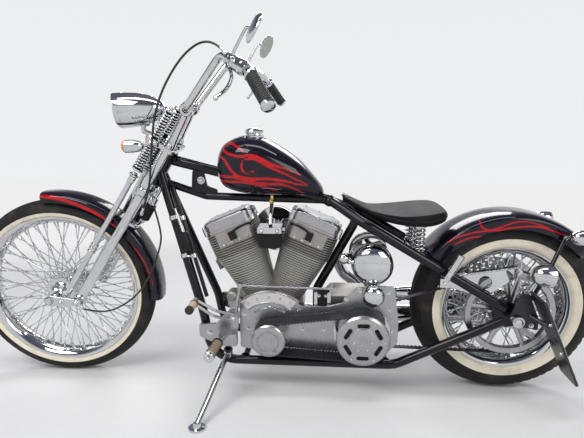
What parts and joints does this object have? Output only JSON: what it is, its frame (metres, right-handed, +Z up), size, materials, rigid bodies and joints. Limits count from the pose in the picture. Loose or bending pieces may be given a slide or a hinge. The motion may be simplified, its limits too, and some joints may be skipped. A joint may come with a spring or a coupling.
{
  "type": "chopper motorcycle",
  "caption": "Rigid-frame motorcycle with a twin engine, springer fork, wire wheels and open belt drive, leaning on its side stand",
  "frame": {"origin": "middle of the bounding box on the floor, with the motorcycle leaning on its side stand", "axes": "+X to the rear, +Y to the rider's right, +Z up"},
  "size_m": [2.2852, 0.8838, 1.3038],
  "materials": {
    "black_paint": "gloss",
    "flame_paint": "gloss",
    "chrome": "polished",
    "polished_aluminium": "satin",
    "cast_aluminium": "cast",
    "tyre": "matt",
    "belt_rubber": "matt",
    "grip_rubber": "matt",
    "peg_rubber": "matt",
    "seat_leather": "satin",
    "black_plastic": "matt",
    "black_plate": "satin",
    "cable_black": "satin"
  },
  "bodies": {
    "chassis": {"frame": "black_paint", "fuel_tank": "flame_paint", "seat": "seat_leather", "seat_springs": "chrome", "rear_fender": "flame_paint", "fender_struts": "black_paint", "oil_tank": "chrome", "crankcase": "cast_aluminium", "cylinders": "cast_aluminium", "rocker_boxes": "polished_aluminium", "pushrod_tubes": "chrome", "air_cleaner": "chrome", "gearbox": "cast_aluminium", "motor_plate": "polished_aluminium", "primary_belt": "belt_rubber", "primary_pulleys": "polished_aluminium", "final_belt": "belt_rubber", "belt_guard": "chrome", "exhausts": "chrome", "electrics": "black_plastic", "left_controls": "chrome", "right_controls": "chrome", "peg_rubbers": "peg_rubber", "passenger_pegs": "chrome", "plate_holder": "black_plate", "rear_lamps": "chrome", "rear_brake": "polished_aluminium", "rear_axle": "chrome"},
    "steering": {"fork_legs": "chrome", "fork_rockers": "chrome", "fork_springs": "chrome", "fork_damper": "black_plastic", "handlebar": "chrome", "grips": "grip_rubber", "levers": "chrome", "mirrors": "chrome", "headlamp": "chrome", "front_indicators": "chrome", "front_fender": "flame_paint", "cables": "cable_black"},
    "front_wheel_set": {"front_tyre": "tyre", "front_wheel": "chrome"},
    "rear_wheel_set": {"rear_tyre": "tyre", "rear_wheel": "chrome"},
    "side_stand_leg": {"side_stand": "chrome"}
  },
  "joints": [
    {"name": "steering", "type": "hinge", "parent": "chassis", "child": "steering", "pos_m": [-0.40288, 0.01456, 0.7908], "axis": [0.5446, -0.1022, 0.8324], "range_deg": [-35.7, 28.3]},
    {"name": "front_wheel_spin", "type": "hinge", "parent": "steering", "child": "front_wheel_set", "pos_m": [-0.80014, 0.06439, 0.33943], "axis": [-0.0541, 0.9862, 0.1565], "continuous": true},
    {"name": "rear_wheel_spin", "type": "hinge", "parent": "chassis", "child": "rear_wheel_set", "pos_m": [0.82171, 0.07247, 0.31915], "axis": [0, 0.9925, 0.1219], "continuous": true},
    {"name": "side_stand_fold", "type": "hinge", "parent": "chassis", "child": "side_stand_leg", "pos_m": [-0.14829, -0.06017, 0.15219], "axis": [0.1406, -0.5547, 0.8201], "range_deg": [0, 88]}
  ]
}
